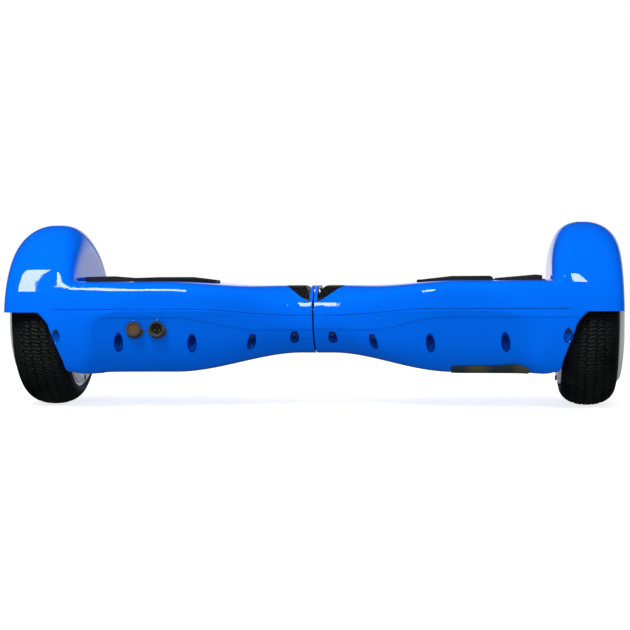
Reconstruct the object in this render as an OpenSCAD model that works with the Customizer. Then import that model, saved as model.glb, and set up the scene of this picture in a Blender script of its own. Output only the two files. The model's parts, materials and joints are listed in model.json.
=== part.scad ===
// Self balancing two-wheeled board: two tilting halves on one pivot tube,
// a hub motor at each end, foot pads on top, battery and electronics inside.
// Frame: +Z up, X along the axles, the charging side faces -Y,
// origin on the ground under the middle of the board.

/* [Wheels] */
// Outer radius of the tyre, also the height of the axles
tyre_r = 85; // [84:0.5:86]
// Tyre width across the sidewalls
tyre_w = 53.4; // [50:0.2:54]
// Distance from the middle of the board to the middle of a tyre
wheel_x = 262.3; // [261.8:0.1:262.4]

/* [Casing] */
// Outer radius of the fender above a wheel
fender_r = 93; // [92:0.5:96]
// Distance from the middle of the board to the outer face of a fender
fender_x = 292; // [292:0.5:296]
// Height of the deck under the feet
deck_z = 122.5; // [121:0.5:124]
// Height of the flat underside
belly_z = 32.5; // [32:0.5:33.5]
// Half the depth of the deck, front to back
deck_half_w = 87; // [85:1:89]
// Half the depth of the narrow waist
waist_half_w = 48; // [47:1:52]
// Wall thickness of the plastic casings
wall = 3; // [2.5:0.1:3.2]

/* [Pivot] */
// Outer radius of the steel pivot tube
tube_r = 15; // [14:0.5:16]
// Inner radius of the pivot tube, which carries the cable
tube_bore_r = 11; // [9:0.5:12]
// Half the twist between the two halves, in degrees
twist = 12; // [8:1:15]

/* [Motor] */
// Radius of the motor axle
axle_r = 7.5; // [7:0.5:8]
// Number of stator teeth
teeth = 27; // [18:3:36]
// Number of rotor magnets
magnets = 30; // [20:2:40]

/* [Hidden] */
$fn = 64;

axle_z = tyre_r;
gap_x = 0.75;              // half the gap between the two halves
wall_x = 226;              // deck-side face of the wheel well's inner wall
well_x0 = wall_x + wall;   // wheel-side face of that wall
well_x1 = fender_x - 2;    // inside face of the fender's outer lip
well_r = fender_r - 3.5;   // inside radius of the wheel well
lip_r = 66;                // radius of the opening that shows the hub cap
seam_gap = 0.1;            // half the gap at the parting line
run_fit = 0.05;            // radial clearance of a running or seated fit
pad_x0 = 98;               // inner end of a foot pad
pad_x1 = 217.5;            // outer end of a foot pad
pad_half_w = 63;           // half the depth of a foot pad
pad_step_x = 171;          // where the first raised part of the pad ends
pad_floor_z = 117.6;       // floor of the recess under the pad
pad_base_z = 119.2;        // underside of the pad at rest
pad_top_z = 125.6;         // top of the pad's flat tread
port_z = 77.4;             // height of the charging socket and the power button
socket_x = -145;           // place of the charging socket
button_x = -167;           // place of the power button
port_y = -86;              // outer face of both
screw_x = [18.5, 58.5, 113, 183, 240];     // places of the casing screws along the board
screw_seat_z = [71.4, 69.3, 76.6, 79, 77]; // height of each screw's seat
plunger_at = [150, 40];    // place of a foot sensor plunger
theta_steps = 36;          // divisions of a casing section

// ---------------------------------------------------------------- helpers
function smooth(a, b, x) = let (t = max(0, min(1, (x - a) / (b - a)))) t * t * (3 - 2 * t);
function mix(a, b, t) = a + (b - a) * t;
function soft_min(a, b, k) = let (h = max(0, k - abs(a - b))) min(a, b) - h * h / (4 * k);
function soft_max(a, b, k) = -soft_min(-a, -b, k);

// A module that mirrors its children to the left half when side is -1
module half(side) {
    if (side > 0) children();
    else mirror([1, 0, 0]) children();
}

// A cylinder along X from x0 to x1, on the axle's line unless moved
module bar_x(x0, x1, r, y = 0, z = axle_z) {
    translate([x0, y, z]) rotate([0, 90, 0]) cylinder(h = x1 - x0, r = r);
}

// A ring turned about the axle from [x, r] points
module turned(points) {
    translate([0, 0, axle_z]) rotate([0, 90, 0]) rotate([0, 0, 90])
        rotate_extrude($fn = 96) polygon([for (p = points) [p[1], p[0]]]);
}

module box(x, y, z) {
    translate([x[0], y[0], z[0]]) cube([x[1] - x[0], y[1] - y[0], z[1] - z[0]]);
}

// A cable through the points of a path, as rings of points set square to its run
function unit(v) = v / norm(v);
function run_at(path, i) =
    unit((i > 0 ? unit(path[i] - path[i - 1]) : [0, 0, 0])
        + (i < len(path) - 1 ? unit(path[i + 1] - path[i]) : [0, 0, 0]));
function ring(path, i, r) =
    let (u = unit(cross(run_at(path, i), [0, 1, 0])), v = cross(run_at(path, i), u))
    [for (t = [0 : 22.5 : 337.5]) path[i] + r * (u * cos(t) + v * sin(t))];
module cable(path, r) {
    skin([for (i = [0 : len(path) - 1]) ring(path, i, r)]);
}

// ---------------------------------------------------------------- casing surface
// Half the depth, top, underside and widest level of the casing at x
function half_w(x) = mix(waist_half_w, deck_half_w, smooth(12, 120, x)) + 9 * smooth(150, 228, x);
function top_z(x) = mix(117.5, deck_z, smooth(55, 140, x));
function belly(x) = mix(50, belly_z, smooth(15, 135, x)) + 2 * pow(max(0, x - 212) / 16, 3);
function wide_z(x) = mix(88, 94, smooth(20, 115, x)) - 6 * smooth(170, 228, x);
function seam_z(x) = mix(89, 96, smooth(20, 115, x)) - 2.8 * smooth(236, 262, x);
// How square the upper and lower shoulders of a section are
function top_n(x) = mix(2.4, 7, smooth(25, 130, x));
function low_n(x) = mix(2.3, 5, smooth(20, 112, x)) + 2.5 * smooth(195, 228, x);
function low_taper(x) = mix(0.05, 0.27, smooth(20, 112, x)) * (1 - 0.8 * smooth(190, 228, x));

// Greater than 1 outside the section at x, less than 1 inside; inset draws the section smaller
function section(x, y, z, inset, ceiling) =
    let (zc = wide_z(x), up = z > zc,
         b = up ? min(top_z(x) - inset, ceiling) - zc : zc - belly(x) - inset,
         n = up ? top_n(x) : low_n(x),
         u = abs(z - zc) / b,
         a = (half_w(x) - inset) * (up ? 1 : 1 - low_taper(x) * min(u, 1)))
    pow(abs(y) / a, n) + pow(u, n);
function ray(x, t, inset, ceiling, lo, hi, steps) =
    let (m = (lo + hi) / 2)
    steps == 0 ? m
    : section(x, m * cos(t), axle_z + m * sin(t), inset, ceiling) > 1
        ? ray(x, t, inset, ceiling, lo, m, steps - 1)
        : ray(x, t, inset, ceiling, m, hi, steps - 1);
// Radius of the casing about the axle's line at x and angle t
function body_r(x, t, inset = 0, ceiling = 999) =
    soft_min(ray(min(x, 228), t, inset, ceiling, 5, 140, 18), fender_r - inset, 3);

// The fender is a rounded arch over the wheel. Its shoulders are wide at the crown and tight at the seam.
// Each is a width, a height and a squareness.
inner_top = [31, 43, 2.45];
inner_side = [10, 12, 2.3];
outer_top = [31, 25.5, 2];
outer_side = [12, 10, 2.3];
function round_off(d, c) =
    let (u = max(0, 1 - d / c[0])) c[1] * (1 - pow(max(0, 1 - pow(u, c[2])), 1 / c[2]));
function arch_r(x, t) = let (crown = pow(sin(t), 2)) x < wheel_x - 4
    ? fender_r - round_off(x - wall_x, mix(inner_side, inner_top, crown))
    : fender_r - round_off(fender_x - x, mix(outer_side, outer_top, crown));
arch_x = concat([for (d = [0, 0.3, 1.2, 3, 6, 10, 15, 22]) wall_x + d],
    [for (d = [35, 31, 25, 20, 15.5, 11.5, 8, 5.2, 3, 1.4, 0.4, 0]) fender_x - d]);
fillet = 8;
// Room for the wheel, under the same arch
well_profile = [[well_x0, 66], [well_x0 + 2.5, 74], [well_x0 + 6, 80.5], [well_x0 + 11, well_r - 4.5],
    [well_x0 + 18, well_r - 1], [well_x0 + 25, well_r], [fender_x - 30, well_r], [fender_x - 20, well_r - 1.4],
    [fender_x - 15.5, well_r - 3], [fender_x - 11.5, well_r - 5.2], [fender_x - 8, well_r - 8.5],
    [fender_x - 5.2, well_r - 12], [fender_x - 3, well_r - 17], [well_x1, well_r - 20.5],
    [well_x1 + 0.5, lip_r], [fender_x + 5, lip_r]];
module well() {
    skin([for (p = well_profile) [for (t = [0 : 9 : 351]) [p[0], p[1] * cos(t), axle_z + p[1] * sin(t)]]]);
}

// Stations of the upper casing, from the middle outwards
body_x = [gap_x, 10, 22, 35, 48, 60, 72, 84, 96, 108, 122, 138, 156, 176, 196, 212, wall_x - 0.6];
function upper_r(x, t) = x < wall_x ? body_r(x, t)
    : x > wheel_x - 4 ? arch_r(x, t)
    : min(fender_r, soft_max(body_r(x, t), arch_r(x, t), fillet));

// Angle at which a section of the body, and of the whole upper casing, reaches height h above the axle
function seam_angle(x, h, inset, t = 4, steps = 5) =
    steps == 0 ? t : seam_angle(x, h, inset, atan2(h, body_r(x, t, inset) * cos(t)), steps - 1);
function upper_angle(x, h, t = 4, steps = 6) =
    steps == 0 ? t : upper_angle(x, h, atan2(h, upper_r(x, t) * cos(t)), steps - 1);

// One section of the upper casing, from seam to seam over the top
function upper_arc(x) =
    let (t0 = upper_angle(x, seam_z(x) + seam_gap - axle_z))
    [for (i = [0 : theta_steps])
        let (t = t0 + (180 - 2 * t0) * i / theta_steps, r = upper_r(x, t))
        [x, r * cos(t), axle_z + r * sin(t)]];
function cavity_arc(x, drop, ceiling) =
    let (h = seam_z(x) - axle_z, t0 = seam_angle(x, h, wall), n = 20, y0 = body_r(x, t0, wall) * cos(t0))
    concat([[x, y0, axle_z + h - drop]],
        [for (i = [0 : n])
            let (t = t0 + (180 - 2 * t0) * i / n, r = body_r(x, t, wall, ceiling))
            [x, r * cos(t), axle_z + r * sin(t)]],
        [[x, -y0, axle_z + h - drop]]);

// A closed solid skinned through sections with equal point counts, each a loop in its own plane
function middle(loop, i = 0) =
    i == len(loop) - 1 ? loop[i] / len(loop) : loop[i] / len(loop) + middle(loop, i + 1);
module skin(loops, flip = false) {
    n = len(loops[0]);
    m = len(loops);
    sides = [for (j = [0 : m - 2]) for (i = [0 : n - 1])
        let (a = j * n + i, b = j * n + (i + 1) % n, c = a + n, d = b + n)
        each [[a, c, b], [b, c, d]]];
    first_cap = [for (i = [0 : n - 1]) [i, (i + 1) % n, m * n]];
    last_cap = [for (i = [0 : n - 1]) [(m - 1) * n + (i + 1) % n, (m - 1) * n + i, m * n + 1]];
    faces = concat(sides, first_cap, last_cap);
    points = concat([for (l = loops) each l], [middle(loops[0]), middle(loops[m - 1])]);
    polyhedron(points = points, faces = flip ? [for (f = faces) [f[2], f[1], f[0]]] : faces);
}

// Where the lower casing's cheek ends at height z, beside the tyre
function cheek_x(z) =
    235.5 + 0.36 * (min(max(z, 46), 78) - 46)
    + 11 * pow(max(0, z - 78) / 15, 1.6) - 5 * pow(max(0, 46 - z) / 13, 2);
lower_x = [gap_x, 10, 22, 35, 48, 60, 72, 84, 96, 108, 124, 142, 160, 178, 194, 206, 214, 220, wall_x];
function lower_arc(x, cheek, inset = 0) =
    let (h = seam_z(x) - seam_gap - axle_z, t0 = seam_angle(x, h, 0))
    [for (i = [0 : theta_steps]) let (t = t0 - (180 + 2 * t0) * i / theta_steps,
        z = axle_z + body_r(x, t) * sin(t),
        xx = mix(x, max(x, cheek_x(z)), cheek),
        r = body_r(xx, t, inset))
        [xx, r * cos(t), i == 0 || i == theta_steps ? seam_z(xx) - seam_gap : axle_z + r * sin(t)]];
function lower_cavity_arc(x, rise) =
    let (h = seam_z(x) - axle_z, t0 = seam_angle(x, h, wall), n = 22, y0 = body_r(x, t0, wall) * cos(t0))
    concat([[x, y0, axle_z + h + rise]],
        [for (i = [0 : n])
            let (t = t0 - (180 + 2 * t0) * i / n, r = body_r(x, t, wall))
            [x, r * cos(t), axle_z + r * sin(t)]],
        [[x, -y0, axle_z + h + rise]]);
cavity_x = [gap_x + wall, 22, 40, 56, 72, 88, 104, 122, 150, 185, 210, wall_x];

// ---------------------------------------------------------------- casings
// Depth position of each casing screw on the charging side; the other side mirrors it
function screw_y(i) =
    i == 4 ? 90.6 : body_r(screw_x[i], asin((screw_seat_z[i] - 3 - axle_z) / 80)) - 6.2;
module screw_places() {
    for (i = [0 : len(screw_x) - 1]) for (s = [-1, 1]) translate([screw_x[i], s * screw_y(i), 0]) {
        $i = i;
        children();
    }
}

// Outline of a foot pad in plan: straight at the fender, round towards the waist
function pad_outline(grow) =
    let (l = pad_x1 - pad_x0 + grow, w = pad_half_w + grow, n = 2 / 2.8)
    [for (f = [-90 : 7.5 : 90])
        [pad_x1 + grow - (l + grow) * pow(cos(f), n), w * sign(f) * pow(abs(sin(f)), n)]];

// Half ellipse of the indicator window, with its straight edge at the middle gap
module window_outline(grow) {
    intersection() {
        scale([29 + grow, 44.6 + grow]) circle(r = 1, $fn = 60);
        translate([3.8 - grow, -60]) square([60, 120]);
    }
}

module upper_shell() {
    difference() {
        union() {
            difference() {
                skin([for (x = concat(body_x, arch_x)) upper_arc(x)]);
                skin([for (x = cavity_x) cavity_arc(x, 6, pad_floor_z - wall)]);
                well();
            }
            for (i = [0 : 3]) for (s = [-1, 1])
                translate([screw_x[i], s * (screw_y(i) - 1.5), seam_z(screw_x[i]) + seam_gap])
                    cylinder(h = i < 2 ? 16 : 21, r = 4, $fn = 32);
        }
        screw_places() translate([0, 0, 80]) cylinder(h = 22, r = 1.55, $fn = 24);
        bar_x(0, gap_x + wall + 1, tube_r + 1);
        translate([0, 0, pad_floor_z]) linear_extrude(30) polygon(pad_outline(0.6));
        for (s = [-1, 1]) translate([plunger_at[0], s * plunger_at[1], pad_floor_z - 10])
            cylinder(h = 20, r = 6);
        translate([0, 0, 95]) linear_extrude(40) window_outline(0.3);
    }
}

module lower_shell() {
    difference() {
        union() {
            difference() {
                skin(concat([for (x = lower_x) lower_arc(x, 0)],
                    [for (k = [0.25, 0.5, 0.75, 1]) lower_arc(wall_x, k)]), flip = true);
                skin([for (x = cavity_x) lower_cavity_arc(x, 6)], flip = true);
                bar_x(well_x0, fender_x, well_r);
            }
            for (i = [0 : 3]) for (s = [-1, 1])
                translate([screw_x[i], s * (screw_y(i) - 1.5), screw_seat_z[i] - 8])
                    cylinder(h = seam_z(screw_x[i]) - seam_gap - screw_seat_z[i] + 8, r = 5.6, $fn = 32);
            for (s = [-1, 1]) translate([screw_x[4], s * screw_y(4), 70])
                cylinder(h = 23, r = 3.9, $fn = 32);
        }
        screw_places() {
            translate([0, 0, 25]) cylinder(h = screw_seat_z[$i] - 25, r = $i == 4 ? 2.9 : 3.6, $fn = 32);
            translate([0, 0, 60]) cylinder(h = 50, r = 1.7, $fn = 24);
        }
        bar_x(0, gap_x + wall + 1, tube_r + 1);
        // The axle drops into this slot in the end wall from above
        bar_x(wall_x - 1, well_x0 + 1, axle_r + 2.5);
        box([wall_x - 1, well_x0 + 1], [-axle_r - 2.5, axle_r + 2.5], [axle_z, 110]);
        intersection() {
            box([100, 210], [70, 110], [60, 90]);
            headlight_prism(0.3);
        }
    }
}

// Slanted headlight opening on the front face
module headlight_prism(grow) {
    translate([0, 100, 0]) rotate([90, 0, 0]) linear_extrude(40)
        offset(delta = grow) polygon([[124, 80], [130, 72], [166, 67], [174, 71], [168, 78.5]]);
}

// A piece of the casing's own skin, between two depths under its outer surface
module skin_slice(outer, inner, xs) {
    difference() {
        skin([for (x = xs) full_arc(x, outer)]);
        skin([for (x = xs) full_arc(x, inner)]);
    }
}
function full_arc(x, inset) =
    [for (t = [0 : 10 : 350]) let (r = body_r(x, t, inset)) [x, r * cos(t), axle_z + r * sin(t)]];

module headlight_lens() {
    intersection() {
        skin_slice(0.4, 2.9, [110, 122, 134, 146, 158, 170, 185]);
        headlight_prism(0);
        box([100, 210], [60, 110], [60, 90]);
    }
}

module headlight_board() {
    box([128, 170], [68, 69.6], [67, 80]);
    for (x = [132 : 8 : 164]) box([x, x + 4], [69.6, 71], [71, 75]);
}

module indicator_window() {
    intersection() {
        skin_slice(0.3, 2.6, [3, 8, 13, 18, 24, 31]);
        translate([0, 0, 96]) linear_extrude(40) window_outline(0);
    }
}

module blank_rating_plate() {
    intersection() {
        difference() {
            skin([for (x = [124, 142, 160, 178, 194, 206]) lower_arc(x, 0, -0.35)], flip = true);
            skin([for (x = [108, 124, 142, 160, 178, 194, 206, 214]) lower_arc(x, 0, -0.05)], flip = true);
        }
        translate([0, 0, 20]) linear_extrude(40)
            polygon([[132, -24], [132, -58], [170, -60], [205, -68], [205, -24]]);
    }
}

module shell_screws() {
    screw_places() {
        seat = screw_seat_z[$i];
        translate([0, 0, seat - 2.4]) cylinder(h = 2.4, r = $i == 4 ? 2.5 : 3.2, $fn = 32);
        translate([0, 0, seat]) cylinder(h = ($i == 4 ? 98 : 100) - seat, r = 1.5, $fn = 24);
    }
}

// ---------------------------------------------------------------- foot pads
module pad_profile() {
    polygon([[pad_x0 - 2, pad_base_z], [pad_x0 - 2, deck_z - 0.1], [pad_x0 + 4, deck_z - 0.1],
        [132, pad_top_z], [pad_step_x, pad_top_z], [pad_step_x + 0.6, deck_z], [pad_step_x + 4, deck_z],
        [pad_step_x + 4.6, deck_z + 0.8], [pad_x1, pad_top_z + 1.2], [pad_x1, pad_base_z]]);
}

module foot_pad() {
    intersection() {
        translate([0, 80, 0]) rotate([90, 0, 0]) linear_extrude(160) pad_profile();
        translate([0, 0, 100]) linear_extrude(40) polygon(pad_outline(0));
    }
}

module sensor_plungers() {
    for (s = [-1, 1]) translate([plunger_at[0], s * plunger_at[1], 0]) {
        translate([0, 0, 111]) cylinder(h = pad_base_z - 111, r = 5);
        translate([-3, -0.8, 106]) cube([6, 1.6, 5]);
    }
}

// ---------------------------------------------------------------- chassis
plate_z = [75.6, 79.6];
boss_x1 = 62;          // outer end of the frame's pivot boss
clamp_x = [199, 218.3]; // span of the axle clamp
clamp_bolts = [204, 213.3];
function frame_outline(inset) = [
    [8 + inset, -27 + inset], [60, -34 + inset], [104, -56 + inset], [222 - inset, -58 + inset],
    [222 - inset, 58 - inset], [104, 56 - inset], [60, 34 - inset], [8 + inset, 27 - inset]];

module frame(bore_r, pinned) {
    difference() {
        union() {
            translate([0, 0, plate_z[0]]) linear_extrude(plate_z[1] - plate_z[0]) polygon(frame_outline(0));
            translate([0, 0, plate_z[0]]) linear_extrude(13)
                difference() { polygon(frame_outline(0)); polygon(frame_outline(3.5)); }
            bar_x(7, boss_x1, tube_r + 7);
            box(clamp_x, [-24, 24], [plate_z[0], axle_z - 0.1]);
            // Ribs
            for (y = [-30, 30]) box([boss_x1 - 14, 198], [y - 1.5, y + 1.5], [plate_z[1] - 1, plate_z[1] + 7]);
            for (x = [116, 150, 184]) box([x - 1.5, x + 1.5], [-50, 50], [plate_z[1] - 1, plate_z[1] + 4]);
            // Posts of the gyro board
            for (x = [108, 178]) for (y = [-40, 40]) translate([x, y, plate_z[1] - 1])
                cylinder(h = 102 - plate_z[1], r = 4, $fn = 32);
        }
        bar_x(0, boss_x1 + 1, bore_r);
        bar_x(clamp_x[0] - 5, wall_x, axle_r + run_fit);
        box([clamp_x[1] - 1, wall_x], [-axle_r - run_fit, axle_r + run_fit], [axle_z, axle_z + 10]);
        // Room for the tube's end and the circlip
        bar_x(boss_x1, boss_x1 + 9, tube_r + 3.6);
        for (x = clamp_bolts) for (y = [-16, 16]) translate([x, y, plate_z[0] - 1])
            cylinder(h = 20, r = 2.55, $fn = 32);
        if (pinned) translate([slot_x, 0, axle_z + tube_r]) cylinder(h = 30, r = pin_r + run_fit, $fn = 32);
        // Ways for the motor cable and the harness
        translate([170, 16, plate_z[0] - 1]) cylinder(h = 8, r = 7);
        box([76, 104], [-13, 13], [plate_z[0] - 1, plate_z[1] + 1]);
    }
}

module axle_clamp() {
    difference() {
        box(clamp_x, [-24, 24], [axle_z + 0.1, axle_z + 13]);
        bar_x(clamp_x[0] - 1, clamp_x[1] + 1, axle_r + run_fit);
        for (x = clamp_bolts) for (y = [-16, 16]) translate([x, y, axle_z])
            cylinder(h = 20, r = 2.7, $fn = 32);
    }
}

module axle_clamp_bolts() {
    for (x = clamp_bolts) for (y = [-16, 16]) translate([x, y, 0]) {
        translate([0, 0, plate_z[0] + 1]) cylinder(h = axle_z + 13 - plate_z[0] - 1, r = 2.5, $fn = 32);
        difference() {
            translate([0, 0, axle_z + 13]) cylinder(h = 5, r = 4.25, $fn = 32);
            translate([0, 0, axle_z + 15.5]) cylinder(h = 5, r = 2.3, $fn = 6);
        }
    }
}

// The right boss turns on these bushes; the tube is fixed in the left boss
bush_r = tube_r + 2.5;
slot_x = 42;     // place of the twist stop along the tube
pin_r = 3;
module pivot_tube() {
    difference() {
        bar_x(-boss_x1 - 4, boss_x1 + 8, tube_r);
        bar_x(-boss_x1 - 5, boss_x1 + 9, tube_bore_r);
        // Slot that limits the twist
        box([slot_x - pin_r - 0.1, slot_x + pin_r + 0.1],
            [-tube_r * sin(twist) - pin_r - 0.1, tube_r * sin(twist) + pin_r + 0.1],
            [axle_z, axle_z + tube_r + 5]);
        // Groove of the circlip
        difference() {
            bar_x(boss_x1 + 2.1, boss_x1 + 3.9, tube_r + 2);
            bar_x(boss_x1 + 2, boss_x1 + 4, tube_r - 1.2);
        }
    }
}
module pivot_bushes() {
    for (x = [7, boss_x1 - 14]) difference() {
        bar_x(x, x + 14, bush_r);
        bar_x(x - 1, x + 15, tube_r + run_fit);
    }
}

module pivot_circlip() {
    difference() {
        bar_x(boss_x1 + 2.3, boss_x1 + 3.7, tube_r + 3);
        bar_x(boss_x1 + 2, boss_x1 + 4, tube_r - 1.1);
        box([boss_x1 + 1, boss_x1 + 5], [-3, 3], [axle_z + 4, axle_z + tube_r + 5]);
    }
}

module pivot_stop_pin() {
    translate([slot_x, 0, axle_z + tube_bore_r + 0.6]) cylinder(h = 12, r = pin_r, $fn = 32);
    translate([slot_x, 0, axle_z + tube_r + 7.1]) cylinder(h = 3, r = pin_r + 2, $fn = 32);
}

// ---------------------------------------------------------------- hub motor and wheel
stator_x = [wheel_x - 11, wheel_x + 9];
stator_r = 47.2;
bearing_r = 17.5;
module axle() {
    difference() {
        union() {
            bar_x(clamp_x[0] - 3, wheel_x + 22, axle_r);
            bar_x(stator_x[0] - 2.6, stator_x[1] + 3, axle_r + 3.5);
        }
        // Cable bore from the inner end to the windings
        bar_x(clamp_x[0] - 5, stator_x[0] - 1.8, 3.6);
    }
}

module stator_core() {
    translate([stator_x[0], 0, axle_z]) rotate([0, 90, 0])
        linear_extrude(stator_x[1] - stator_x[0]) difference() {
        union() {
            circle(r = 29);
            for (i = [0 : teeth - 1]) rotate(i * 360 / teeth) {
                translate([26, -2]) square([18.5, 4]);
                intersection() {
                    difference() { circle(r = stator_r); circle(r = 44); }
                    translate([40, -4.6]) square([10, 9.2]);
                }
            }
        }
        circle(r = axle_r + 3.5 + run_fit);
    }
}

module stator_windings() {
    for (i = [0 : teeth - 1]) translate([0, 0, axle_z]) rotate([180 + i * 360 / teeth, 0, 0])
        difference() {
            box([stator_x[0] - 2, stator_x[1] + 2], [-3.1, 3.1], [30, 43]);
            box([stator_x[0] - 0.1, stator_x[1] + 0.1], [-2.1, 2.1], [29, 45]);
        }
}

module rotor_magnets() {
    for (i = [0 : magnets - 1]) translate([0, 0, axle_z]) rotate([i * 360 / magnets, 0, 0])
        box([stator_x[0] - 1, stator_x[1] + 1], [-4.5, 4.5], [48.1, 50.6]);
}

rim_x = [wheel_x - 24, wheel_x + 25];
rim_r = 64;
flange_r = rim_r + 3.4;
cover_screw_r = 59;
module wheel_rim() {
    difference() {
        turned([
            [rim_x[0], 51], [rim_x[0], flange_r], [rim_x[0] + 3, flange_r], [rim_x[0] + 4, rim_r],
            [rim_x[1] - 4, rim_r], [rim_x[1] - 3, flange_r], [rim_x[1], flange_r], [rim_x[1], 12],
            [rim_x[1] - 2, 12], [rim_x[1] - 2, bearing_r + run_fit], [rim_x[1] - 12.4, bearing_r + run_fit],
            [rim_x[1] - 12.4, bearing_r + 4], [rim_x[1] - 4, bearing_r + 4], [rim_x[1] - 4, 51]]);
        for (a = [0 : 60 : 300]) translate([0, 0, axle_z]) rotate([a, 0, 0])
            bar_x(rim_x[0] - 1, rim_x[0] + 8, 1.55, z = cover_screw_r, $fn = 24);
    }
}

// Round tread down to the beads, as an arch of [x, r] points
module tyre() {
    h = tyre_w / 2;
    x0 = wheel_x - h;
    x1 = wheel_x + h;
    rise = tyre_r - 66;
    turned(concat(
        [[rim_x[0], flange_r + 0.1], [x0 + 1.6, flange_r + 0.2]],
        [for (f = [12 : 12 : 168])
            [wheel_x - h * sign(cos(f)) * pow(abs(cos(f)), 0.9), 66 + rise * pow(sin(f), 0.9)]],
        [[x1 - 1.6, flange_r + 0.2], [rim_x[1], flange_r + 0.1], [rim_x[1] - 3, flange_r + 0.1],
            [rim_x[1] - 4.1, rim_r + 0.1], [rim_x[0] + 4.1, rim_r + 0.1], [rim_x[0] + 3, flange_r + 0.1]]));
}

module motor_cover() {
    x = rim_x[0];
    difference() {
        turned([
            [x - 4.5, 9], [x - 4.5, 60], [x - 2.5, 64.5], [x - 0.1, 64.5], [x - 0.1, 50.8], [x - 1.5, 48],
            [x - 1.5, bearing_r + 4], [x + 10, bearing_r + 4], [x + 10, bearing_r + run_fit],
            [x - 0.6, bearing_r + run_fit], [x - 0.6, 9]]);
        for (a = [0 : 60 : 300]) translate([0, 0, axle_z]) rotate([a, 0, 0])
            bar_x(x - 6, x + 3, 1.7, z = cover_screw_r, $fn = 24);
    }
}

module motor_cover_screws() {
    x = rim_x[0];
    for (a = [0 : 60 : 300]) translate([0, 0, axle_z]) rotate([a, 0, 0]) {
        bar_x(x - 5.9, x - 4.5, 2.6, z = cover_screw_r, $fn = 32);
        bar_x(x - 4.5, x + 7, 1.5, z = cover_screw_r, $fn = 24);
    }
}

module wheel_bearings() {
    for (x = [rim_x[0] - 0.5, rim_x[1] - 12.3]) difference() {
        bar_x(x, x + 10.2, bearing_r);
        bar_x(x - 1, x + 12, axle_r + run_fit);
    }
}

spokes = 7;
module hub_cap() {
    x = rim_x[1] + 0.1;
    difference() {
        turned([[x, 0.01], [x, 63], [x + 3.3, 63], [x + 6, 59.5], [x + 7.8, 50], [x + 8.4, 20],
            [x + 8.4, 0.01]]);
        // Windows between the spokes
        for (i = [0 : spokes - 1]) translate([x + 2.4, 0, axle_z])
            rotate([i * 360 / spokes, 0, 0]) rotate([0, 90, 0])
                linear_extrude(10) polygon([[-22, -6], [-24, 9], [-50, 16], [-53, -4]]);
    }
}

// ---------------------------------------------------------------- electronics
module gyro_board() {
    translate([0, 0, 101.1]) difference() {
        box([102, 184], [-46, 46], [0, 1.6]);
        for (x = [108, 178]) for (y = [-40, 40]) translate([x, y, -1]) cylinder(h = 4, r = 1.6, $fn = 24);
    }
    box([138, 144], [-4, 4], [102.7, 104.5]);
    box([112, 124], [-8, 8], [102.7, 109]);
    for (s = [-1, 1]) translate([plunger_at[0], s * plunger_at[1], 102.7]) difference() {
        translate([-6, -4, 0]) cube([12, 8, 6.5]);
        translate([-7, -1.4, 0.8]) cube([14, 2.8, 10]);
    }
}

module main_board() {
    box([-212, -96], [-44, 44], [66, 67.6]);
    // Heat sink and transistors
    box([-200, -110], [-40, -32], [52, 65.9]);
    for (x = [-196 : 14 : -126]) box([x, x + 9], [-31.9, -27], [56, 65.9]);
    // Capacitors and connectors
    for (x = [-190, -166]) translate([x, 26, 44]) cylinder(h = 21.9, r = 8);
    for (x = [-140, -122]) box([x, x + 12], [18, 34], [57, 65.9]);
    box([-160, -148], [-8, 4], [64, 65.9]);
    for (x = [-206, -102]) for (y = [-38, 38]) translate([x, y, 67.7])
        cylinder(h = plate_z[0] - 67.8, r = 3, $fn = 32);
}

module battery_pack() {
    // Two layers of cells in a sleeve
    box([98, 219], [-41, 41], [42, 75]);
}

module battery_bracket() {
    difference() {
        box([150, 164], [-47, 47], [39.4, 75.3]);
        box([149, 165], [-41.6, 41.6], [41.8, 80]);
    }
}

// The cable twists inside the pivot tube, so each half carries its own length of it
module battery_lead() {
    cable([[40.5, 0, axle_z], [77, 0, axle_z], [88, 4, 78], [91, 8, 66], [97.9, 8, 66]], 3.5);
}

module centre_harness() {
    cable([[-124, -6, 71.5], [-98, -4, 71.5], [-88, 0, 80], [-77, 0, axle_z], [39.5, 0, axle_z]], 3.5);
    box([-133, -123.5], [-12, 0], [67.8, 75.2]);
}

module right_motor_cable() {
    cable([[195.9, 0, axle_z], [184, 0, axle_z + 4], [168, 14, axle_z + 5], [100, 14, axle_z + 5],
        [93, 11, axle_z + 3]], 3.2);
}
module left_motor_cable() {
    cable([[-195.9, 0, axle_z], [-184, 0, axle_z + 4], [-170, 16, axle_z + 5], [-170, 16, 68]], 3.2);
}

// ---------------------------------------------------------------- charging socket and button
module port_barrel(x, y0, y1, r) {
    translate([x, y0, port_z]) rotate([-90, 0, 0]) cylinder(h = y1 - y0, r = r);
}

module charging_socket() {
    difference() {
        union() {
            port_barrel(socket_x, port_y, port_y + 16, 7.2);
            port_barrel(socket_x, port_y + 6, port_y + 8, 9.5);
        }
        port_barrel(socket_x, port_y - 1, port_y + 4, 6);
        port_barrel(socket_x, port_y - 1, port_y + 10, 4.8);
    }
}

module charging_pins() {
    for (a = [90, 210, 330]) translate([2.7 * cos(a), 0, 2.7 * sin(a)])
        port_barrel(socket_x, port_y + 4.5, port_y + 9.95, 0.8);
}

module power_button_housing() {
    difference() {
        union() {
            port_barrel(button_x, port_y, port_y + 16, 6.9);
            port_barrel(button_x, port_y + 6, port_y + 8, 9.5);
        }
        port_barrel(button_x, port_y - 1, port_y + 13, 4.9);
    }
}

module power_button() {
    port_barrel(button_x, port_y + 0.6, port_y + 10, 4.82);
}

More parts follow.
